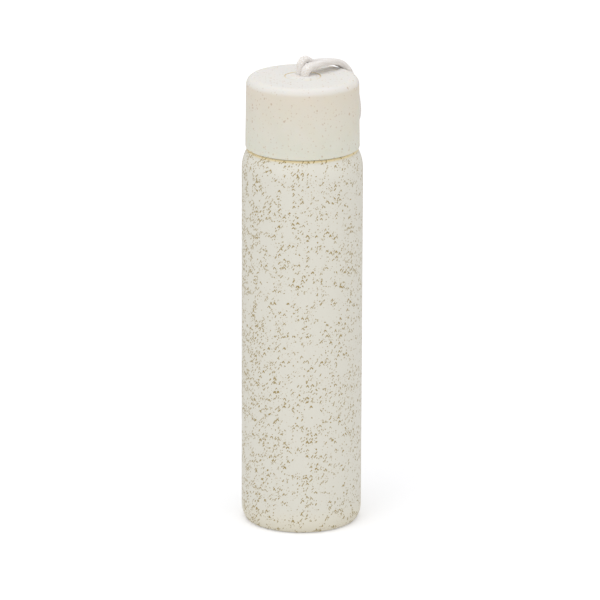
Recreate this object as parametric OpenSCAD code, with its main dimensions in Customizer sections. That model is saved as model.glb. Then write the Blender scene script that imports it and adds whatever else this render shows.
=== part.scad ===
// Slim double-wall drink flask with a screw cap and a cotton cord loop.
// It stands on z = 0, on the Z axis, and is seen from -Y in its usual view.

/* [Body] */
// Outside diameter of the body
body_d = 65; // [60:0.5:72]
// Height of the shoulder's flat top above the table
deck_z = 208; // [150:1:260]
// Thickness of the outer wall
shell_t = 0.6; // [0.4:0.1:0.8]
// How far the shoulder draws in
shoulder_in = 5.4; // [5:0.1:6.5]
// Height of the rounded shoulder
shoulder_h = 11.5; // [10:0.5:14]
// Radius of the shoulder's upper edge
shoulder_r = 3.5; // [2:0.1:4]
// How far the foot draws in
foot_in = 3.5; // [3:0.1:4.5]
// Height of the rounded foot
foot_h = 7.5; // [6:0.5:9]
// Radius of the foot's lower edge
foot_r = 1.8; // [1.2:0.1:2.2]
// Width of the flat ring that the body stands on
foot_ring_w = 2.5; // [1.5:0.1:3]

/* [Base] */
// Depth of the recess under the body
recess = 2.5; // [2.2:0.1:3.5]
// Thickness of the base plate
base_t = 0.6; // [0.4:0.1:0.8]
// Radius of the sealing dimple in the base plate
dimple_r = 6; // [5:0.5:8]
// Depth of the sealing dimple
dimple_depth = 1.5; // [1.3:0.1:2]
// Diameter of the evacuation hole in the dimple
port_d = 2; // [1.4:0.2:3]
// Diameter of the sealing bead
bead_d = 6.4; // [5:0.2:8]
// Thickness of the sealing bead
bead_t = 1.1; // [0.8:0.1:1.2]
// Thickness of the base pad
pad_t = 1.5; // [1:0.1:1.8]

/* [Inner flask] */
// Width of the vacuum space between the walls
vacuum_gap = 3; // [2:0.1:3.6]
// Thickness of the inner wall
flask_t = 0.5; // [0.4:0.1:0.8]
// Space between the base plate and the inner flask's floor
floor_gap = 4.9; // [4.5:0.1:8]
// Radius of the inner flask's bottom corner
flask_foot_r = 8; // [5:0.5:9]
// Radius of the inner flask's shoulder
flask_shoulder_r = 4.4; // [3:0.1:4.6]
// Radius of the opening that the inner base closes
flask_hole_r = 18; // [14:0.5:19]
// Thickness of the inner base
inner_base_t = 0.6; // [0.4:0.1:0.8]
// How far the foil stops short of the inner flask's curves
foil_margin = 6; // [2:1:12]
// Thickness of the reflecting foil
foil_t = 0.15; // [0.1:0.05:0.3]
// Diameter of the getter
getter_d = 8; // [6:1:10]
// Thickness of the getter
getter_t = 2; // [1:0.1:2.2]
// Distance of the getter from the axis
getter_x = 10; // [9:0.5:12]

/* [Neck] */
// Thickness of the neck collar
neck_t = 0.6; // [0.4:0.1:1]
// Height of the lip above the shoulder
neck_h = 20; // [19:0.1:22]
// Height of the rounded lip
lip_h = 1.2; // [0.8:0.1:1.4]
// How far the collar's flange stays clear of the shoulder's curve
flange_gap = 0.6; // [0.3:0.1:1.2]

/* [Thread] */
// Number of thread starts
starts = 3; // [2:1:3]
// Distance from one ridge to the next
pitch = 4; // [3.6:0.1:4.4]
// Height of a ridge above its wall
ridge_h = 0.85; // [0.6:0.05:1]
// Radial play between a crest and the other wall
crest_play = 0.35; // [0.3:0.05:0.5]
// Play between the flanks of two ridges
flank_play = 0.3; // [0.3:0.05:0.5]
// Slope of a ridge's flanks in degrees
flank = 30; // [20:1:35]
// Share of a turn that each ridge covers
ridge_turn = 0.6; // [0.4:0.05:0.7]
// Height of the thread's start above the shoulder
thread_start = 4; // [3.6:0.1:5]

/* [Cap] */
// How far the cap's side stands in from the body's side
cap_step = 1.9; // [1.4:0.1:2.4]
// How much the cap's diameter draws in towards its top
cap_draft = 0.8; // [0:0.1:1.2]
// Height of the cap
cap_h = 38.7; // [38:0.1:44]
// Gap between the cap's lower edge and the shoulder
cap_gap = 0.3; // [0.3:0.1:0.8]
// Thickness of the cap's side wall
cap_t = 2; // [1.6:0.1:2.2]
// Thickness of the cap's top
cap_top_t = 2.5; // [2.2:0.1:3]
// Radius of the cap's top edge
cap_edge_r = 4.2; // [3:0.1:6]
// Radius of the cap's lower edge
cap_rim_r = 0.8; // [0.3:0.1:1]
// How far the liner's skirt ends above the cap's lower edge
liner_rise = 0.7; // [0.3:0.1:2]
// Thickness of the liner's skirt
liner_t = 1.8; // [1.2:0.1:2.2]
// Thickness of the liner's top
liner_top_t = 2; // [1.5:0.1:2.5]
// Clearance between the liner and the cap
liner_play = 0.2; // [0.1:0.05:0.3]
// Width of the sealing ring
gasket_w = 3.3; // [2.4:0.1:3.6]
// Thickness of the sealing ring
gasket_t = 1.6; // [1.2:0.1:2]
// Thickness of the foam disc
foam_t = 3; // [2:0.1:3.2]
// Clearance round the foam disc
foam_play = 0.6; // [0.3:0.1:1.5]

/* [Cord button] */
// Diameter of the button in the cap's top
button_d = 19; // [17:0.5:24]
// Depth of the button's seat in the cap
button_seat = 1.4; // [1:0.1:1.6]
// Rise of the button's crown above its edge
button_rise = 0.9; // [0.3:0.1:1.5]
// Width of the groove round the button
groove_w = 0.25; // [0.15:0.05:0.4]
// Diameter of the button's stem
stem_d = 12.4; // [11.6:0.2:13.6]
// How far the stem's end lies below the cap's top
stem_depth = 5.7; // [5:0.1:5.8]
// Width of the retaining clip
clip_w = 2.7; // [2:0.1:3.5]
// Thickness of the retaining clip
clip_t = 1.2; // [0.8:0.1:1.4]

/* [Cord] */
// Diameter of the cord
cord_d = 3.7; // [3:0.1:3.9]
// Clearance round a strand in the button's slot
slot_play = 0.25; // [0.15:0.05:0.4]
// Diameter of the knot inside the cap
knot_d = 14; // [12:0.5:16]
// Thickness of the knot inside the cap
knot_t = 6; // [4:0.1:6]

/* [Hidden] */
$fn = 96;

paint = [0.87, 0.85, 0.80];
plastic = [0.89, 0.87, 0.82];
steel = [0.72, 0.72, 0.72];
cotton = [0.92, 0.91, 0.89];

fit = 0.05;         // gap at a pressed seat
touch = 0.02;       // how far a thread's root stands off its wall

function turned(c, r, a) = c + r * [cos(a), sin(a)];

// A corner that draws in by a over the height b and ends in a small radius s: the radius
// of its long curve, and the angle at which the long curve meets the short one
function long_r(a, b, s) = (a * a + b * b - 2 * b * s) / (2 * (a - s));
function meet(a, b, s) = atan2(b - s, long_r(a, b, s) - a);

body_r = body_d / 2;
shoulder_long = long_r(shoulder_in, shoulder_h, shoulder_r);
shoulder_meet = meet(shoulder_in, shoulder_h, shoulder_r);
shoulder_c = [body_r - shoulder_in, deck_z - shoulder_r];
shoulder_long_c = [body_r - shoulder_long, deck_z - shoulder_h];
foot_long = long_r(foot_in, foot_h, foot_r);
foot_meet = meet(foot_in, foot_h, foot_r);
foot_c = [body_r - foot_in, foot_r];
foot_long_c = [body_r - foot_long, foot_h];
foot_hole_r = foot_c[0] - foot_ring_w;

base_z = recess + base_t;
flask_z = base_z + floor_gap;
flask_r = body_r - shell_t - vacuum_gap;
flask_top_z = deck_z - shell_t - vacuum_gap;
cap_low_r = body_r - cap_step;
cap_high_r = cap_low_r - cap_draft / 2;
liner_r = cap_high_r - cap_t - liner_play;
liner_bore_r = liner_r - liner_t;
neck_r = liner_bore_r - crest_play - ridge_h;
lip_z = deck_z + neck_h;
collar_top_z = lip_z - lip_h;
tube_r = neck_r - neck_t - 0.2;
bore_r = tube_r - flask_t;

lead = pitch * starts;
slope = tan(flank);
ridge_w = pitch / 2 - flank_play + (ridge_h + crest_play) * slope;
crest_w = ridge_w - 2 * ridge_h * slope;
neck_thread_z = deck_z + thread_start;
cap_thread_z = neck_thread_z + pitch / 2;

cap_z = deck_z + cap_gap;
top_z = cap_z + cap_h;
liner_z = cap_z + liner_rise;
gasket_z = lip_z + 0.1;
liner_under_z = gasket_z + gasket_t;
liner_top_z = liner_under_z + liner_top_t;
gasket_r = liner_bore_r - 0.3;

button_r = button_d / 2;
button_z = top_z - 0.2;
flange_z = top_z - button_seat;
crown_r = (pow(button_r, 2) + pow(button_rise, 2)) / (2 * button_rise);
stem_r = stem_d / 2;
stem_z = top_z - stem_depth;
clip_z = top_z - cap_top_t - clip_t;
cord_r = cord_d / 2;
slot_r = cord_r + slot_play;
cord_end_z = top_z - 6;

// The cord's route: x, y and height above the cap's top. It climbs out of the button,
// humps over, crosses the cap's rear edge, hangs as a loop and comes back the same way.
route = [
    [-1.05, 1.7, -9], [-1.05, 1.7, -6], [-1.05, 1.7, -3], [-1.05, 1.7, 1], [-1.2, 1.9, 5.2],
    [-0.6, 2.1, 7.5], [1.2, 3.7, 8.8], [3.4, 6.1, 6.9], [5, 8.4, 5.2], [8.4, 11.8, 4.9],
    [11.6, 14.8, 4.3], [15, 18, 3.7], [17.6, 20.7, 2.6], [20, 23, 1], [21.6, 24.4, -0.6],
    [24, 25, -3.4], [24, 24.8, -8.5], [22, 24.9, -14], [19, 26.8, -19.5], [18.5, 28.1, -25.5],
    [22, 25.5, -30.7], [27.7, 18.1, -30.7], [29.9, 13.3, -25], [29.5, 13.8, -19],
    [28.6, 15.9, -13.5], [27.3, 18.6, -8.5], [25.4, 21.2, -3.2], [23.8, 20.9, -0.8],
    [21.9, 19.5, 1.5], [19.8, 17, 3.3], [16.7, 13.7, 4.6], [13.5, 10.5, 5], [10.5, 7.5, 5.2],
    [7.8, 4.7, 5], [5, 1.9, 5.1], [2.8, -0.5, 4.6], [1.5, -1.9, 3.2], [1.05, -1.7, 0.3],
    [1.05, -1.7, -3], [1.05, -1.7, -6], [1.05, -1.7, -9]
];
strand_a = [route[1][0], route[1][1]];
strand_b = [route[39][0], route[39][1]];

// A slice of a disc, centre c and radius r, from angle a to angle b
module slice(c, r, a, b) {
    intersection() {
        translate(c) circle(r = r);
        polygon([c, turned(c, 1.5 * r, a), turned(c, 1.5 * r, (a + b) / 2),
                 turned(c, 1.5 * r, b)]);
    }
}

module ring(r_out, r_in, z, h) {
    rotate_extrude() translate([r_in, z]) square([r_out - r_in, h]);
}

// Points on a curve, centre c and radius r, after angle a and up to angle b
function arc(c, r, a, b, steps = 12) =
    [for (i = [1 : steps]) turned(c, r, a + (b - a) * i / steps)];
function reversed(v) = [for (i = [len(v) - 1 : -1 : 0]) v[i]];

// Outline of the body from the foot ring up to the neck, set in by i
function body_outline(i) = concat(
    [[foot_hole_r, i], [foot_c[0], i]],
    arc(foot_c, foot_r - i, 270, 360 - foot_meet),
    arc(foot_long_c, foot_long - i, 360 - foot_meet, 360),
    [[body_r - i, shoulder_long_c[1]]],
    arc(shoulder_long_c, shoulder_long - i, 0, shoulder_meet),
    arc(shoulder_c, shoulder_r - i, shoulder_meet, 90),
    [[neck_r + fit, deck_z - i]]);

module outer_shell() {
    color(paint) rotate_extrude()
        polygon(concat(body_outline(0), reversed(body_outline(shell_t))));
}

module neck_collar() {
    under = deck_z - shell_t;
    color(steel) {
        ring(neck_r, neck_r - neck_t, under - neck_t, collar_top_z - under + neck_t);
        ring(shoulder_c[0] - flange_gap, neck_r - neck_t, under - neck_t, neck_t);
    }
}

// Half section of the inner flask as if solid, set in by i
module flask_section(i) {
    foot = [flask_r - flask_foot_r, flask_z + flask_foot_r];
    shoulder = [flask_r - flask_shoulder_r, flask_top_z - flask_shoulder_r];
    polygon([[0, flask_z + i], [foot[0], flask_z + i], foot, [flask_r - i, foot[1]],
             [flask_r - i, shoulder[1]], shoulder, [shoulder[0], flask_top_z - i],
             [0, flask_top_z - i]]);
    slice(foot, flask_foot_r - i, 270, 360);
    slice(shoulder, flask_shoulder_r - i, 0, 90);
}

// The inner flask runs up inside the collar and ends in a rounded lip on its top
module inner_flask() {
    lip_w = neck_r - bore_r;
    color(steel) rotate_extrude() {
        difference() {
            union() {
                flask_section(0);
                translate([0, flask_top_z - 1]) square([tube_r, collar_top_z - flask_top_z + 1]);
            }
            flask_section(flask_t);
            translate([0, flask_top_z - 2]) square([bore_r, collar_top_z]);
            translate([0, flask_z - 1]) square([flask_hole_r, 3]);
        }
        translate([bore_r, collar_top_z]) square([lip_w, lip_h - lip_w / 2]);
        intersection() {
            translate([bore_r + lip_w / 2, lip_z - lip_w / 2]) circle(r = lip_w / 2);
            translate([bore_r, lip_z - lip_w / 2]) square([lip_w, lip_w / 2]);
        }
    }
}

module inner_base() {
    color(steel) translate([0, 0, flask_z - inner_base_t])
        cylinder(r = flask_hole_r + 2, h = inner_base_t);
}

module reflective_foil() {
    z = flask_z + flask_foot_r + foil_margin;
    color("peru") ring(flask_r + 0.15 + foil_t, flask_r + 0.15, z,
                       flask_top_z - flask_shoulder_r - foil_margin - z);
}

// Base plate with a rim that stands in the foot, a raised dimple and the port in it
module outer_base() {
    rim_r = foot_hole_r - fit;
    top = recess + dimple_depth;
    color(steel) difference() {
        union() {
            ring(rim_r, rim_r - base_t, 0.2, recess + base_t - 0.2);
            ring(rim_r, dimple_r, recess, base_t);
            ring(dimple_r + base_t, dimple_r, recess, dimple_depth + base_t);
            translate([0, 0, top]) cylinder(r = dimple_r + base_t, h = base_t);
        }
        translate([0, 0, top - 1]) cylinder(d = port_d, h = base_t + 2);
    }
}

// Sealing bead under the port, with the part that has run into it
module seal_bead() {
    top = recess + dimple_depth;
    color("slategray") {
        translate([0, 0, top - bead_t]) cylinder(d = bead_d, h = bead_t);
        translate([0, 0, top]) cylinder(d = port_d - 0.1, h = base_t + 0.3);
    }
}

module getter() {
    color("dimgray") translate([getter_x, 0, flask_z - inner_base_t - getter_t])
        cylinder(d = getter_d, h = getter_t);
}

module base_pad() {
    color("dimgray") translate([0, 0, recess - pad_t]) difference() {
        cylinder(r = foot_hole_r - base_t - 0.3, h = pad_t);
        translate([0, 0, pad_t - 0.6]) cylinder(r = dimple_r - 1, h = 1);
    }
}

// One trapezoid ridge of a right-hand thread on a wall of radius r. It stands out of the
// wall by out (negative: inwards), its root starts at height z, and its ends taper away.
ridge_steps = 30;
function taper(u) = min(1, 0.15 + 8 * min(u, 1 - u));
function ridge_point(r, z, out, u, k) = let (
    a = 360 * ridge_turn * u,
    root = out > 0 ? r / cos(180 * ridge_turn / ridge_steps) + touch : r - touch,
    far = k == 0 || k == 3 ? root : r + out * taper(u),
    rise = (k < 2 ? -1 : 1) * (k == 0 || k == 3 ? ridge_w : crest_w) / 2)
    [far * cos(a), far * sin(a), z + lead * ridge_turn * u + rise];

module ridge(r, z, out) {
    points = [for (i = [0 : ridge_steps]) for (k = [0 : 3])
        ridge_point(r, z, out, i / ridge_steps, k)];
    last = 4 * ridge_steps;
    sides = [for (i = [0 : ridge_steps - 1]) for (k = [0 : 3]) each let (
        a = 4 * i + k, b = 4 * i + (k + 1) % 4, c = b + 4, d = a + 4) [[a, c, b], [a, d, c]]];
    ends = [[0, 1, 2], [0, 2, 3], [last, last + 2, last + 1], [last, last + 3, last + 2]];
    faces = concat(sides, ends);
    polyhedron(points = points,
               faces = out > 0 ? faces : [for (f = faces) [f[0], f[2], f[1]]]);
}

module thread(r, z, out) {
    for (i = [0 : starts - 1]) rotate([0, 0, 360 * i / starts]) ridge(r, z, out);
}

module neck_thread() {
    color(steel) thread(neck_r, neck_thread_z, ridge_h);
}

// The cap's ridges run in the middle of the grooves between the neck's
module cap_thread() {
    color(plastic) thread(liner_bore_r, cap_thread_z, -ridge_h);
}

// Half section of the cap's outside
module cap_outside() {
    side = cap_high_r - cap_edge_r;
    polygon([[0, cap_z], [cap_low_r - cap_rim_r, cap_z], [cap_low_r - cap_rim_r, cap_z + cap_rim_r],
             [cap_low_r, cap_z + cap_rim_r], [cap_high_r, top_z - cap_edge_r],
             [side, top_z - cap_edge_r], [side, top_z], [0, top_z]]);
    slice([cap_low_r - cap_rim_r, cap_z + cap_rim_r], cap_rim_r, 270, 360);
    slice([side, top_z - cap_edge_r], cap_edge_r, 0, 90);
}

// Half section of the space inside the cap
module cap_inside() {
    r = max(cap_edge_r - cap_t, 0.8);
    side = cap_high_r - cap_t - r;
    z = top_z - cap_top_t;
    polygon([[0, cap_z - 1], [cap_low_r - cap_t, cap_z - 1], [cap_low_r - cap_t, cap_z],
             [cap_high_r - cap_t, z - r], [side, z - r], [side, z], [0, z]]);
    slice([side, z - r], r, 0, 90);
}

module cap_shell() {
    color(plastic) difference() {
        rotate_extrude() difference() {
            cap_outside();
            cap_inside();
        }
        translate([0, 0, flange_z]) cylinder(r = button_r + groove_w, h = button_seat + 1);
        translate([0, 0, top_z - cap_top_t - 1]) cylinder(r = stem_r + 0.15, h = cap_top_t + 2);
    }
}

module cap_liner() {
    color("ivory") difference() {
        translate([0, 0, liner_z]) cylinder(r = liner_r, h = liner_top_z - liner_z);
        translate([0, 0, liner_z - 1]) cylinder(r = liner_bore_r, h = liner_under_z - liner_z + 1);
    }
}

module lid_gasket() {
    color("white") ring(gasket_r, gasket_r - gasket_w, gasket_z, gasket_t);
}

module cap_foam() {
    color("whitesmoke") translate([0, 0, liner_top_z])
        cylinder(r = liner_r - foam_play, h = foam_t);
}

// Slot for the two strands: a round hole at each strand and a straight piece between them
module strand_slot() {
    across = strand_b - strand_a;
    for (p = [strand_a, strand_b]) translate(p) circle(r = slot_r);
    rotate(atan2(across[1], across[0])) square([norm(across), 2 * slot_r], center = true);
}

// Button with a domed face, a flange in the cap's seat and a stem through the cap's top
module cord_button() {
    color(plastic) difference() {
        union() {
            intersection() {
                translate([0, 0, flange_z]) cylinder(r = button_r, h = button_seat + button_rise);
                translate([0, 0, button_z + button_rise - crown_r]) sphere(r = crown_r);
            }
            translate([0, 0, stem_z]) cylinder(r = stem_r, h = flange_z - stem_z + 0.5);
        }
        translate([0, 0, stem_z - 1]) linear_extrude(stem_depth + button_rise + 2) strand_slot();
    }
}

module button_clip() {
    color(steel) ring(stem_r + fit + clip_w, stem_r + fit, clip_z, clip_t);
}

// A point of the smooth curve that follows the route's points
function curve_point(i, t) =
    (pow(1 - t, 3) * route[i] + (3 * pow(t, 3) - 6 * pow(t, 2) + 4) * route[i + 1]
     + (1 + 3 * t + 3 * pow(t, 2) - 3 * pow(t, 3)) * route[i + 2] + pow(t, 3) * route[i + 3]) / 6
    + [0, 0, top_z];
rings_per_span = 2;
cord_sides = 8;
spans = len(route) - 3;
line = [for (s = [0 : spans * rings_per_span])
    let (i = min(floor(s / rings_per_span), spans - 1)) curve_point(i, s / rings_per_span - i)];
last_ring = len(line) - 1;
function unit(v) = v / norm(v);
function heading(i) = unit(line[min(i + 1, last_ring)] - line[max(i - 1, 0)]);
function square_to(n, t) = unit(n - (n * t) * t);

// Plain round cord. Each ring's first corner is carried on from the ring before it.
module cord_loop() {
    normals = [for (i = 0, n = square_to([1, 0, 0], heading(0)); i <= last_ring;
                    i = i + 1, n = square_to(n, heading(min(i, last_ring)))) n];
    points = [for (i = [0 : last_ring]) let (t = heading(i), n = normals[i], b = cross(t, n))
        for (k = [0 : cord_sides - 1]) let (a = 360 * k / cord_sides)
            line[i] + cord_r * (cos(a) * n + sin(a) * b)];
    sides = [for (i = [0 : last_ring - 1]) for (k = [0 : cord_sides - 1]) each let (
        a = cord_sides * i + k, b = cord_sides * i + (k + 1) % cord_sides,
        c = b + cord_sides, d = a + cord_sides) [[a, c, b], [a, d, c]]];
    end = cord_sides * last_ring;
    ends = [for (k = [1 : cord_sides - 2]) each [[0, k, k + 1], [end, end + k + 1, end + k]]];
    color(cotton) polyhedron(points = points, faces = concat(sides, ends));
}

// Knot of the two ends, a round cushion with a flat top that the strands stand on
module cord_knot() {
    r = knot_t / 2;
    color(cotton) translate([0, 0, cord_end_z - knot_t]) rotate_extrude() {
        square([knot_d / 2 - r, knot_t]);
        intersection() {
            translate([knot_d / 2 - r, r]) circle(r = r);
            translate([knot_d / 2 - r, 0]) square([r, knot_t]);
        }
    }
}

outer_shell();
neck_collar();
neck_thread();
inner_flask();
inner_base();
reflective_foil();
outer_base();
seal_bead();
getter();
base_pad();
cap_shell();
cap_liner();
cap_thread();
lid_gasket();
cap_foam();
cord_button();
button_clip();
cord_loop();
cord_knot();
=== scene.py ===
"""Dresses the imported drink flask: painted body, screw cap, cord loop, studio and camera.

Lengths in this file are millimetres unless a name ends in _m. Every mesh is written in metres
in the row's own frame, so each object stays at the origin.
"""
import logging
import math
from dataclasses import dataclass, field
from enum import Enum
from typing import Any

import bmesh
import bpy
import numpy as np
from mathutils import Matrix, Vector


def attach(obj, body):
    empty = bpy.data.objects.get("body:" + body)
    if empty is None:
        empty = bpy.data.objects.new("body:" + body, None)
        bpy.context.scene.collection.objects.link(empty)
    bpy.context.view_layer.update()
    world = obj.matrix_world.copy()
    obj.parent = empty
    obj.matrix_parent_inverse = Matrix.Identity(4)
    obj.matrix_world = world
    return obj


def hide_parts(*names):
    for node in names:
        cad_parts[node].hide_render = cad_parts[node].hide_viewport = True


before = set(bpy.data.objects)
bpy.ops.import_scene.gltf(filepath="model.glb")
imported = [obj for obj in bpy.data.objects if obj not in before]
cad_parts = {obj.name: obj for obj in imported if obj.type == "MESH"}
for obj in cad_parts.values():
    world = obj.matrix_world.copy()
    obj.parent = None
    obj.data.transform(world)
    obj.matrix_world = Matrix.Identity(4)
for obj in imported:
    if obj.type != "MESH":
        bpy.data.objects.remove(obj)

LOG = logging.getLogger("flask")
MM = 0.001
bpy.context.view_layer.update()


# ---------------------------------------------------------------------------- shader maths


class Wire:
    """One output socket of a node, on which Python's operators add Math nodes."""

    def __init__(self, graph: "Graph", socket: Any) -> None:
        """Keep the socket and the graph that it belongs to."""
        self.graph = graph
        self.socket = socket

    def _math(self, operation: str, first: Any, second: Any) -> "Wire":
        """Return a Math node of the two values."""
        return self.graph.node("ShaderNodeMath", {"operation": operation}, {0: first, 1: second})

    def __add__(self, other: Any) -> "Wire":
        """Return self + other."""
        return self._math("ADD", self, other)

    def __radd__(self, other: Any) -> "Wire":
        """Return other + self."""
        return self._math("ADD", other, self)

    def __sub__(self, other: Any) -> "Wire":
        """Return self - other."""
        return self._math("SUBTRACT", self, other)

    def __rsub__(self, other: Any) -> "Wire":
        """Return other - self."""
        return self._math("SUBTRACT", other, self)

    def __mul__(self, other: Any) -> "Wire":
        """Return self * other."""
        return self._math("MULTIPLY", self, other)

    def __rmul__(self, other: Any) -> "Wire":
        """Return other * self."""
        return self._math("MULTIPLY", other, self)

    def __truediv__(self, other: Any) -> "Wire":
        """Return self / other."""
        return self._math("DIVIDE", self, other)

    def __lt__(self, other: Any) -> "Wire":
        """Return 1 where self is less than other, and 0 elsewhere."""
        return self._math("LESS_THAN", self, other)

    def __or__(self, other: Any) -> "Wire":
        """Return the larger of the two masks."""
        return self._math("MAXIMUM", self, other)

    def __abs__(self) -> "Wire":
        """Return self without its sign."""
        return self._math("ABSOLUTE", self, 0.0)

    def step(self, low: float, high: float) -> "Wire":
        """Return a smooth step that is 0 at low and 1 at high."""
        return self.graph.node(
            "ShaderNodeMapRange", {"interpolation_type": "SMOOTHSTEP"},
            {"Value": self, "From Min": low, "From Max": high})

    def ramp(self, low: float, high: float, to_low: float, to_high: float) -> "Wire":
        """Return self carried linearly, and held at the ends, onto another range."""
        return self.graph.node(
            "ShaderNodeMapRange", {"clamp": True},
            {"Value": self, "From Min": low, "From Max": high, "To Min": to_low,
             "To Max": to_high})


class Graph:
    """A material's node tree, in which one method makes any node."""

    def __init__(self, name: str) -> None:
        """Make an empty material of that name."""
        self.material = bpy.data.materials.new(name)
        self.material.use_nodes = True
        self.tree = self.material.node_tree
        self.tree.nodes.clear()

    def node(self, kind: str, settings: dict[str, Any] | None = None,
             inputs: dict[Any, Any] | None = None, output: Any = 0) -> Wire:
        """Add a node.

        Args:
            kind: The node's type.
            settings: Attributes to set first, such as a Math node's operation.
            inputs: Sockets by name or number, each with a value or a Wire.
            output: Name or number of the output that is wanted.

        Returns:
            The chosen output as a Wire.
        """
        made = self.tree.nodes.new(kind)
        for key, value in (settings or {}).items():
            setattr(made, key, value)
        for key, value in (inputs or {}).items():
            if isinstance(value, Wire):
                self.tree.links.new(value.socket, made.inputs[key])
            else:
                made.inputs[key].default_value = value
        return Wire(self, made.outputs[output])

    def other(self, wire: Wire, output: Any) -> Wire:
        """Return another output of the node that a wire comes from."""
        return Wire(self, wire.socket.node.outputs[output])

    def object_mm(self) -> Wire:
        """Return the point in the row's frame, in millimetres."""
        place = self.node("ShaderNodeTexCoord", output="Object")
        return self.vector("SCALE", place, scale=1000.0)

    def vector(self, operation: str, first: Any, second: Any = None,
               scale: float | None = None) -> Wire:
        """Return a Vector Math node's vector."""
        inputs: dict[Any, Any] = {0: first}
        if second is not None:
            inputs[1] = second
        if scale is not None:
            inputs["Scale"] = scale
        return self.node("ShaderNodeVectorMath", {"operation": operation}, inputs)

    def radius(self, place: Wire) -> Wire:
        """Return the way from the flask's axis."""
        x, y, _ = self.split(place)
        flat = self.node("ShaderNodeCombineXYZ", inputs={0: x, 1: y})
        return self.other(self.vector("LENGTH", flat), "Value")

    def split(self, vector: Wire) -> tuple[Wire, Wire, Wire]:
        """Return the three numbers of a vector."""
        first = self.node("ShaderNodeSeparateXYZ", inputs={0: vector})
        return first, self.other(first, 1), self.other(first, 2)

    def noise(self, place: Wire, size_mm: float, detail: float = 2.0,
              colour: bool = False) -> Wire:
        """Return noise whose waves are about size_mm wide."""
        return self.node("ShaderNodeTexNoise", inputs={
            "Vector": place, "Scale": 1.0 / size_mm, "Detail": detail},
            output="Color" if colour else 0)

    def cells(self, place: Wire, size_mm: float, feature: str = "F1",
              output: str = "Distance") -> Wire:
        """Return one output of a Voronoi pattern whose cells are about size_mm wide."""
        return self.node("ShaderNodeTexVoronoi", {"feature": feature}, {
            "Vector": place, "Scale": 1.0 / size_mm, "Randomness": 1.0}, output)

    def blend(self, factor: Any, low: Any, high: Any) -> Wire:
        """Return a colour between low (at 0) and high (at 1)."""
        return self.node("ShaderNodeMix", {"data_type": "RGBA"}, {0: factor, 6: low, 7: high}, 2)

    def mix(self, factor: Wire, low: Wire, high: Wire) -> Wire:
        """Return a number between low (at 0) and high (at 1)."""
        return self.node("ShaderNodeMix", {"data_type": "FLOAT"}, {0: factor, 2: low, 3: high})

    def bump(self, height: Wire, depth_mm: float, strength: float = 1.0) -> Wire:
        """Return a normal that a height between 0 and 1 bends."""
        return self.node("ShaderNodeBump", inputs={
            "Strength": strength, "Distance": depth_mm * MM, "Height": height})

    def surface(self, **sockets: Any) -> bpy.types.Material:
        """Finish the material with a Principled surface.

        Args:
            **sockets: Principled sockets, with underscores for spaces.

        Returns:
            The finished material.
        """
        inputs = {name.replace("_", " "): value for name, value in sockets.items()}
        skin = self.node("ShaderNodeBsdfPrincipled", inputs=inputs)
        self.node_output(skin)
        return self.material

    def node_output(self, skin: Wire) -> None:
        """Join a shader to the material's output."""
        end = self.tree.nodes.new("ShaderNodeOutputMaterial")
        self.tree.links.new(skin.socket, end.inputs["Surface"])


def srgb(red: float, green: float, blue: float) -> tuple[float, float, float, float]:
    """Return a linear colour for an sRGB colour given in 0 to 255."""
    encoded = np.array([red, green, blue]) / 255.0
    linear = np.where(encoded <= 0.04045, encoded / 12.92, ((encoded + 0.055) / 1.055) ** 2.4)
    return (float(linear[0]), float(linear[1]), float(linear[2]), 1.0)


# -------------------------------------------------------------------------------- finishes


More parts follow.
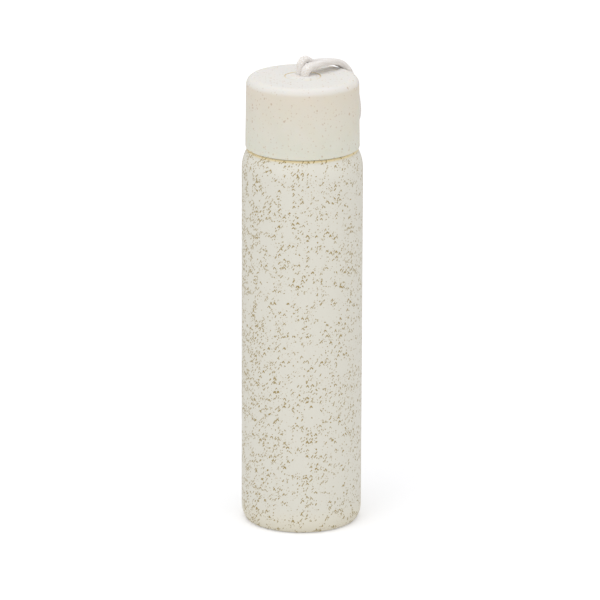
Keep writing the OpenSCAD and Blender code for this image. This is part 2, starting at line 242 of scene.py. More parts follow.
@dataclass(frozen=True)
class SpeckledPaint:
    """Cream paint with golden-brown specks in chains and clusters, a painted golden shadow band that
    glows just under the cap's edge, and painted warm shade towards the foot.
    """

    ground: tuple[int, int, int] = (227, 225, 215)
    # Golden colour of painted shade, laid on the shoulder under the cap's edge and towards the foot.
    shade: tuple[int, int, int] = (240, 222, 176)
    speck: tuple[int, int, int] = (157, 135, 70)
    faint: tuple[int, int, int] = (198, 181, 146)

    def specks(self, graph: Graph, place: Wire, cell: float, radius: tuple[float, float],
               density: Wire | float, edge: float) -> Wire:
        """Return a mask of round specks, one at most in each cell.

        Args:
            graph: The material's tree.
            place: The point in millimetres.
            cell: Width of a cell in millimetres.
            radius: Smallest and largest radius of a speck, in cells.
            density: Share of the cells that hold a speck.
            edge: Softness of a speck's edge, in cells.

        Returns:
            A mask that is 1 inside a speck.
        """
        distance = graph.cells(place, cell)
        tint = graph.other(distance, "Color")
        lot, size, _ = graph.split(tint)
        reach = size.ramp(0.0, 1.0, radius[0], radius[1])
        inside = (reach - distance).step(-edge, edge)
        return inside * (lot < density)

    def strokes(self, graph: Graph, place: Wire, cell: float, tents: float,
                density: Wire | float) -> Wire:
        """Return a mask of short slanted strokes, some of them in pairs like a tent.

        With t and h the way from the middle of the cell round the wall and upwards, in
        millimetres, a tent lies where |t| is near 0.6 (0.5 - h) and a stroke where t is
        near 0.65 h, for h between -0.75 and 0.6.

        Args:
            graph: The material's tree.
            place: The point in millimetres.
            cell: Width of a cell in millimetres.
            tents: Share of the marks that are tents.
            density: Share of the cells that hold a mark.

        Returns:
            A mask that is 1 inside a mark.
        """
        distance = graph.cells(place, cell)
        lot, kind, width = graph.split(graph.other(distance, "Color"))
        x, y, _ = graph.split(place)
        away_x, away_y, high = graph.split(
            graph.vector("SUBTRACT", place, graph.other(distance, "Position")))
        across = (x * away_y - y * away_x) / 32.5
        tent = abs(abs(across) - 0.6 * (0.5 - high))
        stroke = abs(across - 0.65 * high)
        gap = graph.mix(kind < tents, stroke, tent)
        inside = (width.ramp(0.0, 1.0, 0.16, 0.34) - gap).step(-0.10, 0.10)
        ends = high.step(-0.85, -0.65) * (1.0 - high.step(0.5, 0.7))
        return inside * ends * (lot < density)

    def material(self) -> bpy.types.Material:
        """Return the paint."""
        graph = Graph("speckled_paint")
        place = graph.object_mm()
        x, y, z = graph.split(place)
        wobble = graph.vector("SUBTRACT", graph.noise(place, 1.1, 1.0, colour=True),
                              (0.5, 0.5, 0.5))
        bent = graph.vector("ADD", place, graph.vector("SCALE", wobble, scale=0.9))
        drift = graph.vector("SUBTRACT", graph.noise(place, 9.0, 2.0, colour=True),
                             (0.5, 0.5, 0.5))
        roam = graph.vector("ADD", place, graph.vector("SCALE", drift, scale=7.0))
        chains = graph.cells(roam, 11.0, "DISTANCE_TO_EDGE").ramp(0.07, 0.25, 1.0, 0.12)
        patches = graph.noise(place, 26.0, 2.0).ramp(0.35, 0.65, 0.8, 1.2)
        crowd = chains * patches * x.ramp(-30.0, -8.0, 1.4, 1.0)
        marks = self.strokes(graph, bent, 2.5, 0.62, crowd * 0.36)
        thin = self.strokes(graph, graph.vector("ADD", bent, (7.3, 4.1, 9.7)), 1.7, 0.0,
                            crowd * x.ramp(-26.0, -6.0, 0.26, 0.08))
        small = self.specks(graph, bent, 1.15, (0.20, 0.36), crowd * 0.36, 0.07)
        dust = self.specks(graph, bent, 0.8, (0.20, 0.40), crowd * 0.34, 0.12)
        stray = self.specks(graph, bent, 2.6, (0.10, 0.18), 0.16, 0.03)
        # Painted shadow: a golden band on the shoulder just under the cap's edge, which also glows by
        # emission.
        glow = z.step(206.2, 207.6) * graph.radius(place).step(27.8, 29.4)
        # Painted warm shade towards the foot, fading out by 14 mm up.
        under = glow | z.ramp(0.0, 14.0, 0.22, 0.0)
        colour = graph.blend(under, srgb(*self.ground), srgb(*self.shade))
        colour = graph.blend(dust * 0.55, colour, srgb(*self.faint))
        colour = graph.blend((small | thin) * 0.8, colour, srgb(*self.speck))
        colour = graph.blend(marks | stray, colour, srgb(*self.speck))
        skin = graph.noise(place, 0.7, 2.0)
        height = 0.4 * skin + 0.6 * (1.0 - (small | marks))
        return graph.surface(
            Base_Color=colour, Roughness=skin.ramp(0.3, 0.7, 0.42, 0.52),
            # Painted glow of the shadow band under the cap's edge, though it is no lamp.
            Emission_Color=graph.blend(glow, (0.0, 0.0, 0.0, 1.0), srgb(*self.shade)),
            Emission_Strength=0.16, Normal=graph.bump(height, 0.02, 0.6))


@dataclass(frozen=True)
class Plastic:
    """Moulded plastic with a fine matt skin and a few faint specks."""

    name: str
    ground: tuple[int, int, int]
    speck: tuple[int, int, int]
    share: float = 0.1
    roughness: float = 0.46
    depth: float = 0.0
    # Inner and outer radius of the button's groove, which gets a golden line of painted shadow.
    groove: tuple[float, float] | None = None
    warm: tuple[int, int, int] = (230, 220, 206)
    crown: tuple[int, int, int] = (231, 228, 223)

    def material(self) -> bpy.types.Material:
        """Return the plastic."""
        graph = Graph(self.name)
        place = graph.object_mm()
        wobble = graph.vector("SCALE", graph.noise(place, 0.8, 1.0, colour=True), scale=0.9)
        bent = graph.vector("ADD", place, wobble)
        fine = graph.cells(bent, 1.5)
        lot, size, _ = graph.split(graph.other(fine, "Color"))
        small = (size.ramp(0.0, 1.0, 0.14, 0.30) - fine).step(-0.08, 0.08) * (lot < self.share)
        coarse = graph.cells(bent, 3.4)
        lot, size, _ = graph.split(graph.other(coarse, "Color"))
        big = (size.ramp(0.0, 1.0, 0.08, 0.20) - coarse).step(-0.05, 0.05) * (
            lot < self.share * 1.2)
        mask = (small * size.ramp(0.0, 1.0, 0.15, 0.55)) | (big * 0.5)
        cloud = graph.noise(place, 9.0, 3.0)
        soft = graph.blend(cloud.ramp(0.3, 0.7, 0.0, 1.0), srgb(*self.ground),
                           srgb(*(c - d for c, d in zip(self.ground, (4, 3, 6)))))
        if self.groove is not None:
            z = graph.split(place)[2]
            radius = graph.radius(place)
            ring = (radius.step(self.groove[0] - 0.12, self.groove[0])
                    * (1.0 - radius.step(self.groove[1], self.groove[1] + 0.12)))
            soft = graph.blend(z.ramp(212.0, 241.0, 0.0, 1.0), soft,
                               graph.blend(0.75, soft, srgb(*self.warm)))
            soft = graph.blend(z.step(242.4, 244.8), soft, srgb(*self.crown))
            # Painted shadow: a golden line in the groove round the button's seat.
            soft = graph.blend(ring * 0.8 * z.step(243.0, 244.0), soft, srgb(240, 222, 186))
        skin = graph.noise(place, 0.35, 3.0)
        return graph.surface(
            Base_Color=graph.blend(mask, soft, srgb(*self.speck)),
            Roughness=skin.ramp(0.3, 0.7, self.roughness - 0.05, self.roughness + 0.05),
            Specular_IOR_Level=0.2, Subsurface_Weight=self.depth,
            Subsurface_Radius=(1.0, 0.75, 0.5), Subsurface_Scale=0.003,
            Normal=graph.bump(skin, 0.012, 0.5))


class Grain(Enum):
    """Way that the fine lines of a metal run."""

    TURNED = "turned"
    ROLLED = "rolled"


@dataclass(frozen=True)
class Metal:
    """Bare metal with fine lines round the axis or along the sheet."""

    name: str
    colour: tuple[int, int, int]
    roughness: float
    grain: Grain = Grain.TURNED

    def material(self) -> bpy.types.Material:
        """Return the metal."""
        graph = Graph(self.name)
        place = graph.object_mm()
        x, y, z = graph.split(place)
        if self.grain is Grain.TURNED:
            across = graph.node("ShaderNodeCombineXYZ", inputs={
                0: graph.radius(place) * 4.0, 1: z * 4.0, 2: x * 0.02})
        else:
            across = graph.node("ShaderNodeCombineXYZ", inputs={0: x * 3.0, 1: y * 0.1, 2: z * 0.1})
        lines = graph.noise(across, 1.0, 4.0)
        cloud = graph.noise(place, 14.0, 2.0)
        tone = graph.blend(cloud.ramp(0.3, 0.7, 0.0, 0.3), srgb(*self.colour),
                           srgb(*(int(c * 0.93) for c in self.colour)))
        return graph.surface(
            Base_Color=tone, Metallic=1.0,
            Roughness=lines.ramp(0.3, 0.7, self.roughness - 0.07, self.roughness + 0.07),
            Normal=graph.bump(lines, 0.006, 0.35))


@dataclass(frozen=True)
class Soft:
    """Silicone, rubber or foam: a dull skin with pores of one size."""

    name: str
    colour: tuple[int, int, int]
    pore_mm: float
    roughness: float
    depth_mm: float = 0.02

    def material(self) -> bpy.types.Material:
        """Return the soft skin."""
        graph = Graph(self.name)
        place = graph.object_mm()
        pores = graph.cells(place, self.pore_mm)
        cloud = graph.noise(place, 6.0, 3.0)
        tone = graph.blend(cloud.ramp(0.3, 0.7, 0.0, 0.4), srgb(*self.colour),
                           srgb(*(int(c * 0.94) for c in self.colour)))
        return graph.surface(
            Base_Color=tone, Roughness=cloud.ramp(0.3, 0.7, self.roughness - 0.04,
                                                  self.roughness + 0.04),
            Normal=graph.bump(pores, self.depth_mm, 0.6))


@dataclass(frozen=True)
class Cotton:
    """Braided cotton, whose strands are in the mesh and whose fibres are here."""

    colour: tuple[int, int, int] = (249, 249, 252)
    # Colour of painted shade in the braid's valleys and between the tufts.
    valley: tuple[int, int, int] = (238, 228, 216)

    def material(self) -> bpy.types.Material:
        """Return the cotton. The point attribute relief holds the braid's height."""
        graph = Graph("cotton_cord")
        place = graph.object_mm()
        relief = graph.node("ShaderNodeAttribute", {"attribute_name": "relief"}, output="Fac")
        fibres = graph.noise(place, 0.16, 3.0)
        tufts = graph.cells(place, 0.55)
        # Painted shade: low parts of the braid and the gaps between tufts are darkened towards
        # valley.
        tone = graph.blend(relief.ramp(0.0, 0.8, 0.0, 1.0), srgb(*self.valley),
                           srgb(*self.colour))
        tone = graph.blend(tufts.ramp(0.2, 0.8, 0.0, 0.35), tone, srgb(*self.valley))
        tone = graph.blend(fibres.ramp(0.35, 0.65, 0.0, 0.12), tone, srgb(214, 210, 200))
        return graph.surface(
            Base_Color=tone, Roughness=0.92, Sheen_Weight=0.4, Sheen_Roughness=0.5,
            Normal=graph.bump(fibres + 1.5 * (1.0 - tufts), 0.09, 0.8))


# ------------------------------------------------------------------------------ mesh makers


def arc(centre: tuple[float, float], radius: float, start: float, end: float,
        steps: int = 16) -> np.ndarray:
    """Return points on an arc: centre + radius * (cos a, sin a), a from start to end."""
    angle = np.radians(np.linspace(start, end, steps + 1))
    return np.c_[centre[0] + radius * np.cos(angle), centre[1] + radius * np.sin(angle)]


def run(start: tuple[float, float], end: tuple[float, float], steps: int = 8) -> np.ndarray:
    """Return points on a straight line, closer together near both of its ends.

    The share of the way is (1 - cos(pi t)) / 2 for t from 0 to 1.
    """
    share = (1 - np.cos(np.pi * np.linspace(0, 1, steps + 1))) / 2
    return np.array(start) + share[:, None] * (np.array(end) - np.array(start))


def joined(*parts: np.ndarray) -> np.ndarray:
    """Return the parts end to end as one outline, each repeated point once."""
    line = np.vstack(parts)
    step = np.linalg.norm(np.diff(line, axis=0, append=line[:1]), axis=1)
    return line[step > 1e-6]


def rounded(corners: list[tuple[float, float, float]], steps: int = 6) -> np.ndarray:
    """Return a closed outline of straight sides with a round at each corner.

    Each corner is r, z and the radius s of its round. The round's ends lie s / tan(h) from
    the corner, where h is half the corner's angle, and its points follow the quadratic curve
    through both ends with the corner as its handle, which stays within 0.1 s of the round.
    """
    place = np.array([c[:2] for c in corners], float)
    size = np.array([c[2] for c in corners], float)
    back = np.roll(place, 1, axis=0) - place
    ahead = np.roll(place, -1, axis=0) - place
    back /= np.linalg.norm(back, axis=1)[:, None]
    ahead /= np.linalg.norm(ahead, axis=1)[:, None]
    half = np.arccos(np.clip((back * ahead).sum(axis=1), -1, 1)) / 2
    reach = (size / np.tan(half))[:, None]
    first, last = place + back * reach, place + ahead * reach
    t = np.linspace(0, 1, steps + 1)[:, None, None]
    curve = (1 - t) ** 2 * first + 2 * t * (1 - t) * place + t ** 2 * last
    return joined(curve.transpose(1, 0, 2).reshape(-1, 2))


def finished(name: str, points: np.ndarray, faces: np.ndarray, sharp: float = 40.0,
             weld: bool = False) -> bpy.types.Object:
    """Put points and faces into a mesh object at the origin.

    Args:
        name: The object's name.
        points: Points in millimetres, one a row.
        faces: Corner numbers, four a row.
        sharp: Angle in degrees above which an edge is shown sharp.
        weld: Whether doubled points are merged, which closes seams and poles.

    Returns:
        The object, with smooth faces that point outwards.
    """
    mesh = bpy.data.meshes.new(name)
    mesh.from_pydata((points * MM).tolist(), [], faces.tolist())
    thing = bpy.data.objects.new(name, mesh)
    bpy.context.scene.collection.objects.link(thing)
    if weld:
        work = bmesh.new()
        work.from_mesh(mesh)
        bmesh.ops.remove_doubles(work, verts=work.verts, dist=1e-7)
        bmesh.ops.dissolve_degenerate(work, edges=work.edges, dist=1e-8)
        bmesh.ops.recalc_face_normals(work, faces=work.faces)
        work.to_mesh(mesh)
        work.free()
    mesh.shade_smooth()
    mesh.set_sharp_from_angle(angle=math.radians(sharp))
    mesh.update()
    return thing


def revolved(name: str, outline: np.ndarray, around: int = 192,
             sharp: float = 40.0) -> bpy.types.Object:
    """Turn a closed outline of radius and height round the axis.

    The point of turn a and outline point (r, z) is (r cos a, r sin a, z).
    """
    turn = np.linspace(0, 2 * np.pi, around, endpoint=False)
    r, z = outline[:, 0], outline[:, 1]
    points = np.stack([np.cos(turn)[:, None] * r, np.sin(turn)[:, None] * r,
                       np.broadcast_to(z, (around, len(z)))], axis=-1).reshape(-1, 3)
    return finished(name, points, grid_faces(around, len(z), True, True), sharp, weld=True)


def grid_faces(rows: int, columns: int, wrap_rows: bool, wrap_columns: bool) -> np.ndarray:
    """Return the four corners of each face of a grid of points, row by row."""
    i = np.arange(rows if wrap_rows else rows - 1)[:, None]
    j = np.arange(columns if wrap_columns else columns - 1)[None, :]
    down, right = (i + 1) % rows, (j + 1) % columns
    return np.stack([i * columns + j, down * columns + j, down * columns + right,
                     i * columns + right], axis=-1).reshape(-1, 4)


def dress(thing: bpy.types.Object, material: bpy.types.Material) -> None:
    """Give an object one material."""
    thing.data.materials.clear()
    thing.data.materials.append(material)


def place_piece(thing: bpy.types.Object, body: str, node: str,
                material: bpy.types.Material) -> None:
    """Dress a piece, hang it on its body and hide the imported node that it stands for."""
    dress(thing, material)
    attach(thing, body)
    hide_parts(node)
    LOG.info("%s stands for %s on %s", thing.name, node, body)


# ------------------------------------------------------------------------------ the camera


@dataclass
class Camera:
    """The photograph's viewpoint, found from the outline of the body and the cap."""

    distance: float = 2935.0
    elevation: float = 16.64
    roll: float = -0.197
    focal_px: float = 5444.0
    centre_px: tuple[float, float] = (301.97, 298.25)
    target_z: float = 123.415

    def build(self) -> None:
        """Make the camera, moved sideways so that the frame's centre is the photograph's."""
        lift = math.radians(self.elevation)
        back = Vector((0.0, -math.cos(lift), math.sin(lift)))
        side = Vector((1.0, 0.0, 0.0))
        up = back.cross(side)
        per_px = self.distance / self.focal_px
        slide = (side * (300.0 - self.centre_px[0]) + up * (self.centre_px[1] - 300.0)) * per_px
        target = Vector((0.0, 0.0, self.target_z)) + slide
        data = bpy.data.cameras.new("view")
        data.sensor_width = 36.0
        data.lens = self.focal_px / 600.0 * 36.0
        data.clip_start, data.clip_end = 0.1, 20.0
        camera = bpy.data.objects.new("view", data)
        bpy.context.scene.collection.objects.link(camera)
        turn = Matrix((side, up, back)).transposed().to_4x4()
        tilt = Matrix.Rotation(math.radians(-self.roll), 4, "Z")
        camera.matrix_world = Matrix.Translation((target + back * self.distance) * MM) @ turn @ tilt
        bpy.context.scene.camera = camera


# -------------------------------------------------------------------------------- the cord


@dataclass
class CordLoop:
    """Braided cotton cord: both ends in the cap's button, the loop hanging behind the cap."""

    top_z: float = 247.0
    diameter: float = 3.7
    carriers: int = 8
    braid_pitch: float = 9.0
    relief: float = 0.60
    bulge: float = 0.28
    route: list[tuple[float, float, float]] = field(default_factory=lambda: [
        (-1.05, 1.7, -9), (-1.05, 1.7, -6), (-1.05, 1.7, -3), (-1.05, 1.7, 1),
        (-1.2, 1.9, 5.2), (-0.6, 2.1, 7.5), (1.2, 3.7, 8.8), (3.4, 6.1, 6.9), (5, 8.4, 5.2),
        (8.4, 11.8, 4.9), (11.6, 14.8, 4.3), (15, 18, 3.7), (17.6, 20.7, 2.6), (20, 23, 1),
        (21.6, 24.4, -0.6), (24, 25, -3.4), (24, 24.8, -8.5), (22, 24.9, -14),
        (19, 26.8, -19.5), (18.5, 28.1, -25.5), (22, 25.5, -30.7), (27.7, 18.1, -30.7),
        (29.9, 13.3, -25), (29.5, 13.8, -19), (28.6, 15.9, -13.5), (27.3, 18.6, -8.5),
        (25.4, 21.2, -3.2), (23.8, 20.9, -0.8), (21.9, 19.5, 1.5), (19.8, 17, 3.3),
        (16.7, 13.7, 4.6), (13.5, 10.5, 5), (10.5, 7.5, 5.2), (7.8, 4.7, 5), (5, 1.9, 5.1),
        (2.8, -0.5, 4.6), (1.5, -1.9, 3.2), (1.05, -1.7, 0.3), (1.05, -1.7, -3),
        (1.05, -1.7, -6), (1.05, -1.7, -9)])

    def centreline(self, per_span: int) -> np.ndarray:
        """Return points on the cord's line.

        Between four route points P0 to P3 the point at t is
        ((1-t)^3 P0 + (3t^3 - 6t^2 + 4) P1 + (1 + 3t + 3t^2 - 3t^3) P2 + t^3 P3) / 6.
        """
        route = np.array(self.route, float) + [0, 0, self.top_z]
        spans = len(route) - 3
        share = np.linspace(0, spans, spans * per_span + 1)
        first = np.minimum(share.astype(int), spans - 1)
        t = (share - first)[:, None]
        return ((1 - t) ** 3 * route[first] + (3 * t ** 3 - 6 * t ** 2 + 4) * route[first + 1]
                + (1 + 3 * t + 3 * t ** 2 - 3 * t ** 3) * route[first + 2]
                + t ** 3 * route[first + 3]) / 6

    def braid(self, along: np.ndarray, turn: np.ndarray) -> np.ndarray:
        """Return the height of the braid's strands, from 0 in a valley to 1 on a crown.

        Two sets of strands wind round the cord in opposite ways. With the half phase
        p = n / 2 (turn +- 2 pi along / pitch), a tuft stands where strands of both sets are
        on their crowns, (|cos p| |cos p'|)^0.6, and the sets lie over one another by turns, as
        the sign of sin p sin p' says. A slow swell, cos(3 turn + 1.7 along) times
        cos(2 turn - 2.3 along), makes the cord slightly uneven, as soft cotton is.
        """
        wind = 2 * np.pi * along / self.braid_pitch
        half = self.carriers / 2
        left, right = half * (turn + wind), half * (turn - wind)
        tufts = (np.abs(np.cos(left)) * np.abs(np.cos(right))) ** 0.6
        over = 0.5 + 0.5 * np.tanh(2.5 * np.sin(left) * np.sin(right))
        swell = np.cos(3 * turn + 1.7 * along) * np.cos(2 * turn - 2.3 * along)
        return np.clip(0.8 * tufts + 0.2 * over + 0.12 * swell, 0, 1)

    def tube(self, name: str, line: np.ndarray, around: int, closed: bool) -> bpy.types.Object:
        """Sweep the braided section along a line.

        The point at turn a is line + r(a) (cos a n + sin a b), with r the cord's radius less
        the depth of the braid, and n carried along the line with the least twist. The soft
        cord is thicker where it is pushed together above the button, at e = 10.5 mm from either
        end, by the share bulge * exp(-((e - 10.5) / 5.5)^2).

        Args:
            name: The piece's name.
            line: Points of the centreline.
            around: Points round the section.
            closed: Whether the line's end meets its start.

        Returns:
            The cord, with the braid's height in the attribute relief.
        """
        if closed:
            heading = np.roll(line, -1, axis=0) - np.roll(line, 1, axis=0)
        else:
            heading = np.gradient(line, axis=0)
        heading /= np.linalg.norm(heading, axis=1)[:, None]
        normal = np.empty_like(line)
        normal[0] = np.cross(heading[0], [0.0, 1.0, 0.0] if abs(heading[0][1]) < 0.9
                             else [1.0, 0.0, 0.0])
        normal[0] /= np.linalg.norm(normal[0])
        for i in range(1, len(line)):
            carried = normal[i - 1] - normal[i - 1].dot(heading[i]) * heading[i]
            normal[i] = carried / np.linalg.norm(carried)
        side = np.cross(heading, normal)
        along = np.r_[0, np.cumsum(np.linalg.norm(np.diff(line, axis=0), axis=1))]
        turn = np.linspace(0, 2 * np.pi, around, endpoint=False)
        height = self.braid(along[:, None], turn[None, :])
        ends = np.minimum(along, along[-1] - along) if not closed else along * 0 + 60
        bulge = 1 + self.bulge * np.exp(-((ends - 10.5) / 5.5) ** 2)
        radius = (self.diameter / 2 + 0.18) * bulge[:, None] - self.relief * (1 - height)
        points = (line[:, None] + radius[..., None]
                  * (np.cos(turn)[None, :, None] * normal[:, None]
                     + np.sin(turn)[None, :, None] * side[:, None])).reshape(-1, 3)
        faces = grid_faces(len(line), around, closed, True)
        relief = height.reshape(-1)
        quads = faces.tolist()
        if not closed:
            quads += [list(range(around)), list(range(len(points) - 1, len(points) - 1 - around, -1))]
        mesh = bpy.data.meshes.new(name)
        mesh.from_pydata((points * MM).tolist(), [], quads)
        work = bmesh.new()
        work.from_mesh(mesh)
        bmesh.ops.recalc_face_normals(work, faces=work.faces)
        work.to_mesh(mesh)
        work.free()
        mesh.attributes.new("relief", "FLOAT", "POINT").data.foreach_set("value", relief)
        mesh.shade_smooth()
        thing = bpy.data.objects.new(name, mesh)
        bpy.context.scene.collection.objects.link(thing)
        return thing

    def knot_line(self, steps: int = 220) -> np.ndarray:
        """Return the line of the tight knot inside the cap.

        With a from 0 to 2 pi: x = (3.3 + 1.4 cos 3a) cos 2a, y = (3.3 + 1.4 cos 3a) sin 2a,
        z = 1.2 sin 3a, about its middle.
        """
        a = np.linspace(0, 2 * np.pi, steps, endpoint=False)
        out = 3.3 + 1.4 * np.cos(3 * a)
        return np.c_[out * np.cos(2 * a), out * np.sin(2 * a),
                     1.2 * np.sin(3 * a) + self.top_z - 9.0]

    def build(self, material: bpy.types.Material) -> None:
        line = self.centreline(20)
        cord = self.tube("cord_loop_braid", line, 48, closed=False)
        knot = self.tube("cord_end_knot", self.knot_line(), 32, closed=True)
        place_piece(cord, "cap", "cord_loop", material)
        place_piece(knot, "cap", "cord_knot", material)
        (line * MM).tolist()


# ------------------------------------------------------------------------------- the body


@dataclass
class Body:
    """Painted outer shell; the neck, the inner flask and the base inside it stay imported pieces."""

    radius: float = 32.5
    deck_z: float = 208.0
    wall: float = 0.6
    shoulder: tuple[float, float, float] = (5.4, 11.5, 3.5)
    foot: tuple[float, float, float] = (3.5, 7.5, 1.8)
    foot_ring: float = 2.5
    neck: float = 25.0
    lip_z: float = 228.0

    def corner(self, size: tuple[float, float, float]) -> tuple[float, float]:
        """Return the long radius and the meeting angle of a corner.

        For a draw-in a over a height b that ends in a radius s, the long radius is
        (a^2 + b^2 - 2 b s) / (2 (a - s)), and the angle is atan((b - s) / (long - a)).
        """
        a, b, s = size
        long = (a * a + b * b - 2 * b * s) / (2 * (a - s))
        return long, math.degrees(math.atan2(b - s, long - a))

    def side(self, inset: float) -> np.ndarray:
        """Return the wall's line from the foot ring to the neck, set in by inset."""
        foot_long, foot_turn = self.corner(self.foot)
        top_long, top_turn = self.corner(self.shoulder)
        foot_c = (self.radius - self.foot[0], self.foot[2])
        top_c = (self.radius - self.shoulder[0], self.deck_z - self.shoulder[2])
        low, high = self.foot[1], self.deck_z - self.shoulder[1]
        edge = self.radius - inset
        return np.vstack([
            run((foot_c[0] - self.foot_ring, inset), (foot_c[0], inset), 3),
            arc(foot_c, self.foot[2] - inset, 270, 360 - foot_turn),
            arc((self.radius - foot_long, low), foot_long - inset, 360 - foot_turn, 360),
            run((edge, low), (edge, high), 40),
            arc((self.radius - top_long, high), top_long - inset, 0, top_turn, 24),
            arc(top_c, self.shoulder[2] - inset, top_turn, 90, 24),
            run((top_c[0], self.deck_z - inset), (self.neck + 0.05, self.deck_z - inset), 3)])

    def build(self, paint: bpy.types.Material) -> None:
        """Make the painted shell."""
        outline = joined(self.side(0.0), self.side(self.wall)[::-1])
        shell = revolved("painted_shell", outline, 256)
        place_piece(shell, "bottle", "outer_shell", paint)


# --------------------------------------------------------------------------------- the cap


@dataclass
class Cap:
    """Moulded cap with its round top edge and the seat of the button."""

    low_z: float = 208.3
    top_z: float = 247.0
    low_r: float = 30.6
    high_r: float = 30.2
    wall: float = 2.0
    edge: float = 4.2
    rim: float = 0.8
    top: float = 2.5
    seat_r: float = 9.75
    ledge_r: float = 9.54
    seat: float = 1.4
    hole_r: float = 6.35

    def build(self, plastic: bpy.types.Material) -> None:
        """Make the cap's shell."""
        side, inner = self.high_r - self.edge, self.edge - self.wall
        under, rim = self.top_z - self.top, self.low_r - self.rim
        outline = joined(
            arc((rim, self.low_z + self.rim), self.rim, 270, 360, 8),
            run((self.low_r, self.low_z + self.rim), (self.high_r, self.top_z - self.edge), 20),
            arc((side, self.top_z - self.edge), self.edge, 0, 90, 24),
            run((side, self.top_z), (self.seat_r + 0.15, self.top_z), 16),
            arc((self.seat_r + 0.15, self.top_z - 0.15), 0.15, 90, 180, 4),
            run((self.seat_r, self.top_z - 0.15), (self.seat_r, self.top_z - 0.4), 2),
            run((self.seat_r, self.top_z - 0.4), (self.ledge_r, self.top_z - 0.4), 2),
            run((self.ledge_r, self.top_z - 0.4), (self.ledge_r, self.top_z - self.seat), 2),
            run((self.ledge_r, self.top_z - self.seat), (self.hole_r, self.top_z - self.seat), 2),
            run((self.hole_r, self.top_z - self.seat), (self.hole_r, under), 2),
            run((self.hole_r, under), (side, under), 8),
            arc((side, under - inner), inner, 90, 0, 8),
            run((side + inner, under - inner), (self.low_r - self.wall, self.low_z), 8),
            run((self.low_r - self.wall, self.low_z), (rim, self.low_z), 2))
        shell = revolved("cap_moulding", outline, 256)
        place_piece(shell, "cap", "cap_shell", plastic)


# ------------------------------------------------------------------------------ the studio


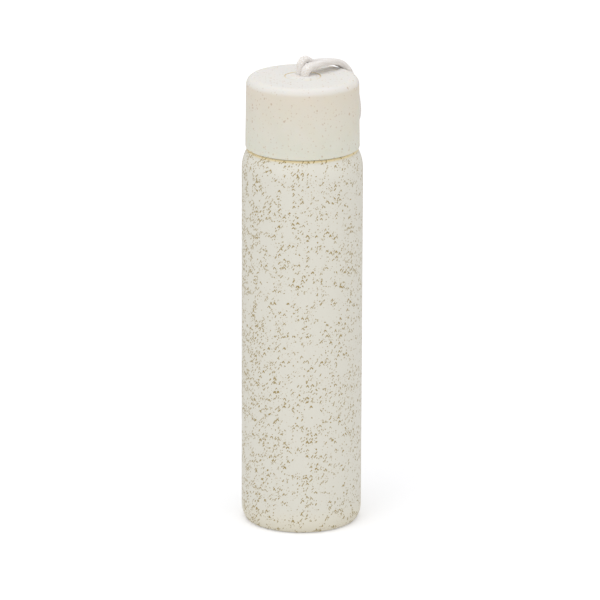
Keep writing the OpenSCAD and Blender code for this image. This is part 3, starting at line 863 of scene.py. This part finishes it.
@dataclass
class Studio:
    """White floor, white surroundings and soft lamps."""

    world: float = 0.66
    key: float = 3.7
    fill: float = 2.8
    top: float = 6.6

    def floor(self) -> None:
        """Make a wide white floor that keeps the flask's shadow and is clear from below."""
        size = 6000.0
        points = np.array([(-size, -size, -0.1), (size, -size, -0.1), (size, size, -0.1),
                           (-size, size, -0.1)], float)
        ground = finished("floor", points, np.array([[0, 1, 2, 3]]))
        graph = Graph("floor_white")
        place = graph.object_mm()
        seen = graph.node("ShaderNodeLightPath", output="Is Camera Ray")
        cloth = graph.node("ShaderNodeBsdfDiffuse", inputs={
            "Color": graph.blend(graph.noise(place, 900.0).ramp(0.3, 0.7, 0, 0.2),
                                 (0.86, 0.86, 0.86, 1), (0.85, 0.85, 0.85, 1))})
        glow = graph.node("ShaderNodeEmission", inputs={
            "Color": graph.blend(graph.radius(place).ramp(300.0, 1800.0, 0.0, 1.0),
                                 (0.25, 0.255, 0.275, 1), (0.70, 0.70, 0.70, 1))})
        both = graph.node("ShaderNodeAddShader", inputs={0: cloth, 1: glow})
        above = graph.node("ShaderNodeMixShader", inputs={0: seen, 1: cloth, 2: both})
        behind = graph.node("ShaderNodeNewGeometry", output="Backfacing")
        clear = graph.node("ShaderNodeBsdfTransparent")
        graph.node_output(graph.node("ShaderNodeMixShader", inputs={0: behind, 1: above, 2: clear}))
        dress(ground, graph.material)

    def surroundings(self) -> None:
        """Make the world white to the camera and even to the object."""
        world = bpy.data.worlds.new("surroundings")
        bpy.context.scene.world = world
        world.use_nodes = True
        tree = world.node_tree
        tree.nodes.clear()
        path = tree.nodes.new("ShaderNodeLightPath")
        even, white = tree.nodes.new("ShaderNodeBackground"), tree.nodes.new("ShaderNodeBackground")
        even.inputs["Color"].default_value = (1.0, 0.975, 0.93, 1.0)
        even.inputs["Strength"].default_value = self.world
        white.inputs["Strength"].default_value = 1.0
        mix, end = tree.nodes.new("ShaderNodeMixShader"), tree.nodes.new("ShaderNodeOutputWorld")
        tree.links.new(path.outputs["Is Camera Ray"], mix.inputs[0])
        tree.links.new(even.outputs[0], mix.inputs[1])
        tree.links.new(white.outputs[0], mix.inputs[2])
        tree.links.new(mix.outputs[0], end.inputs["Surface"])

    def lamp(self, name: str, place_m: tuple[float, float, float], size_m: float,
             power: float, colour: tuple[float, float, float] = (1, 1, 1)) -> None:
        """Make a square lamp that faces the flask."""
        data = bpy.data.lights.new(name, "AREA")
        data.size, data.energy, data.color = size_m, power, colour
        lamp = bpy.data.objects.new(name, data)
        bpy.context.scene.collection.objects.link(lamp)
        lamp.location = place_m
        lamp.rotation_euler = (Vector((0, 0, 0.12)) - lamp.location).to_track_quat(
            "-Z", "Y").to_euler()

    def build(self) -> None:
        """Make the floor, the surroundings and the lamps."""
        self.floor()
        self.surroundings()
        self.lamp("key", (-0.8, -1.2, 0.7), 0.9, self.key)
        self.lamp("fill", (1.3, -0.8, 0.5), 1.0, self.fill)
        self.lamp("top", (-0.1, -0.15, 1.5), 1.0, self.top, (0.92, 0.97, 1.06))
        bpy.context.scene.view_settings.view_transform = "Standard"


# ------------------------------------------------------------------------------------ main


def dress_node(node: str, material: bpy.types.Material) -> None:
    """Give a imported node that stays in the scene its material."""
    dress(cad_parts[node], material)
    LOG.info("%s keeps its own form", node)


def main() -> None:
    """Build the scene in order."""
    logging.basicConfig(level=logging.INFO, format="%(message)s")
    Camera().build()
    CordLoop().build(Cotton().material())
    Body().build(SpeckledPaint().material())
    cap_plastic = Plastic("cap_plastic", (228, 227, 217), (188, 158, 126), 0.45, 0.6,
                          depth=0.3, groove=(9.3, 9.9)).material()
    Cap().build(cap_plastic)
    dress_node("cord_button", cap_plastic)
    liner = Plastic("liner_plastic", (226, 224, 216), (210, 206, 196), 0.02, 0.42).material()
    steel = Metal("bare_steel", (196, 196, 194), 0.30).material()
    base_steel = Metal("base_steel", (190, 190, 188), 0.36).material()
    finishes = {
        "neck_collar": steel, "neck_thread": steel, "inner_flask": steel, "inner_base": steel,
        "button_clip": steel, "outer_base": base_steel,
        "reflective_foil": Metal("foil", (226, 170, 140), 0.16, Grain.ROLLED).material(),
        "seal_bead": Plastic("sealing_glass", (96, 102, 110), (70, 74, 80), 0.1, 0.2).material(),
        "getter": Metal("getter_metal", (92, 92, 94), 0.55, Grain.ROLLED).material(),
        "base_pad": Soft("pad_rubber", (84, 82, 79), 0.5, 0.75).material(),
        "cap_liner": liner, "cap_thread": liner,
        "cap_foam": Soft("foam", (232, 231, 226), 0.7, 0.9, 0.15).material(),
        "lid_gasket": Soft("silicone", (226, 225, 221), 0.4, 0.42, 0.008).material(),
    }
    for node, material in finishes.items():
        dress_node(node, material)
    Studio().build()


if __name__ == "__main__":
    main()
